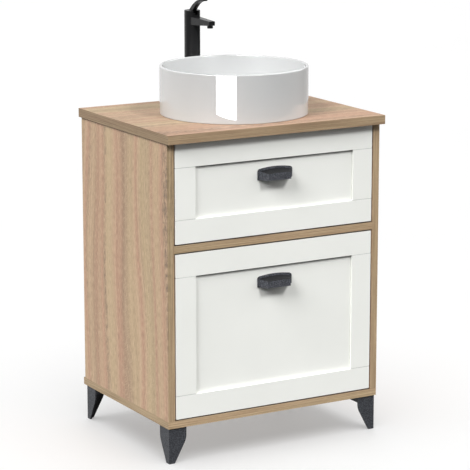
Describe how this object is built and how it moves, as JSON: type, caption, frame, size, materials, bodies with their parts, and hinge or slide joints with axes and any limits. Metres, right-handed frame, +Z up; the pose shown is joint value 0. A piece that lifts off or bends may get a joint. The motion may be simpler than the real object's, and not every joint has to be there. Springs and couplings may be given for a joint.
{
  "type": "vessel sink on vanity",
  "caption": "Round vessel basin with a tall single-lever mixer on a free-standing wood-effect vanity with framed drawer fronts, cup handles and corner legs.",
  "frame": {"origin": "on the floor, under the centre of the overall box", "axes": "+Z up, -Y towards the person at the basin (the drawer fronts), +X to that person's right"},
  "size_m": [0.6, 0.474, 1.0655],
  "materials": {
    "oak_laminate": "satin wood-effect laminate",
    "white_lacquer": "satin lacquer",
    "drawer_board": "smooth melamine",
    "dowel_beech": "matt",
    "leg_plastic": "hammered matt",
    "handle_metal": "textured anthracite",
    "runner_steel": "zinc plated",
    "screw_steel": "zinc plated",
    "glazed_ceramic": "gloss glaze",
    "seal_rubber": "matt",
    "chrome": "polished",
    "trap_plastic": "moulded",
    "tap_black": "matt black coating",
    "tap_insert": "moulded"
  },
  "bodies": {
    "cabinet": {"basin": "glazed_ceramic", "basin_seal": "seal_rubber", "bottom_panel": "oak_laminate", "cabinet_screws": "screw_steel", "carcass_dowels": "dowel_beech", "divider_rail": "oak_laminate", "front_stretcher": "oak_laminate", "leg_front_left": "leg_plastic", "leg_front_right": "leg_plastic", "leg_rear_left": "leg_plastic", "leg_rear_right": "leg_plastic", "rear_bottom_rail": "drawer_board", "rear_top_rail": "drawer_board", "runner_outer": "runner_steel", "side_panel_left": "oak_laminate", "side_panel_right": "oak_laminate", "tap_aerator": "tap_insert", "tap_body": "tap_black", "tap_cartridge": "tap_insert", "tap_fixings": "screw_steel", "tap_spout": "tap_black", "tap_stud": "screw_steel", "trap_body": "trap_plastic", "trap_couplings": "trap_plastic", "trap_cup": "trap_plastic", "trap_outlet_pipe": "trap_plastic", "waste_flange": "chrome", "waste_gasket": "seal_rubber", "waste_nut": "chrome", "waste_tail": "chrome", "worktop": "oak_laminate", "worktop_brackets": "screw_steel"},
    "upper_drawer": {"upper_back": "drawer_board", "upper_bottom": "drawer_board", "upper_bottom_rail": "white_lacquer", "upper_front_panel": "white_lacquer", "upper_handle": "handle_metal", "upper_handle_screws": "screw_steel", "upper_notch": "drawer_board", "upper_runner_inner": "runner_steel", "upper_side_left": "drawer_board", "upper_side_right": "drawer_board", "upper_stiles": "white_lacquer", "upper_top_rail": "white_lacquer"},
    "lower_drawer": {"lower_back": "drawer_board", "lower_bottom": "drawer_board", "lower_bottom_rail": "white_lacquer", "lower_front_panel": "white_lacquer", "lower_handle": "handle_metal", "lower_handle_screws": "screw_steel", "lower_runner_inner": "runner_steel", "lower_side_left": "drawer_board", "lower_side_right": "drawer_board", "lower_stiles": "white_lacquer", "lower_top_rail": "white_lacquer"},
    "upper_runner": {"upper_runner_middle": "runner_steel"},
    "lower_runner": {"lower_runner_middle": "runner_steel"},
    "waste_plug": {"waste_plug": "chrome"},
    "tap_cap": {"tap_cap": "tap_black"},
    "tap_lever": {"tap_lever": "tap_black"}
  },
  "joints": [
    {"name": "upper_drawer_slide", "type": "slide", "parent": "cabinet", "child": "upper_drawer", "axis": [0, -1, 0], "range_m": [0, 0.35]},
    {"name": "lower_drawer_slide", "type": "slide", "parent": "cabinet", "child": "lower_drawer", "axis": [0, -1, 0], "range_m": [0, 0.35]},
    {"name": "upper_runner_slide", "type": "slide", "parent": "cabinet", "child": "upper_runner", "axis": [0, -1, 0], "range_m": [0, 0.175]},
    {"name": "lower_runner_slide", "type": "slide", "parent": "cabinet", "child": "lower_runner", "axis": [0, -1, 0], "range_m": [0, 0.175]},
    {"name": "plug_lift", "type": "slide", "parent": "cabinet", "child": "waste_plug", "axis": [0, 0, 1], "range_m": [0, 0.008]},
    {"name": "tap_cap_turn", "type": "hinge", "parent": "cabinet", "child": "tap_cap", "pos_m": [0, 0.193, 1.016], "axis": [0, 0, 1], "range_deg": [-45, 45]},
    {"name": "tap_lever_lift", "type": "hinge", "parent": "tap_cap", "child": "tap_lever", "pos_m": [0, 0.193, 1.019], "axis": [-1, 0, 0], "range_deg": [0, 25]}
  ],
  "couplings": [
    {"joint": "upper_runner_slide", "follows": "upper_drawer_slide", "ratio": 0.5},
    {"joint": "lower_runner_slide", "follows": "lower_drawer_slide", "ratio": 0.5}
  ]
}
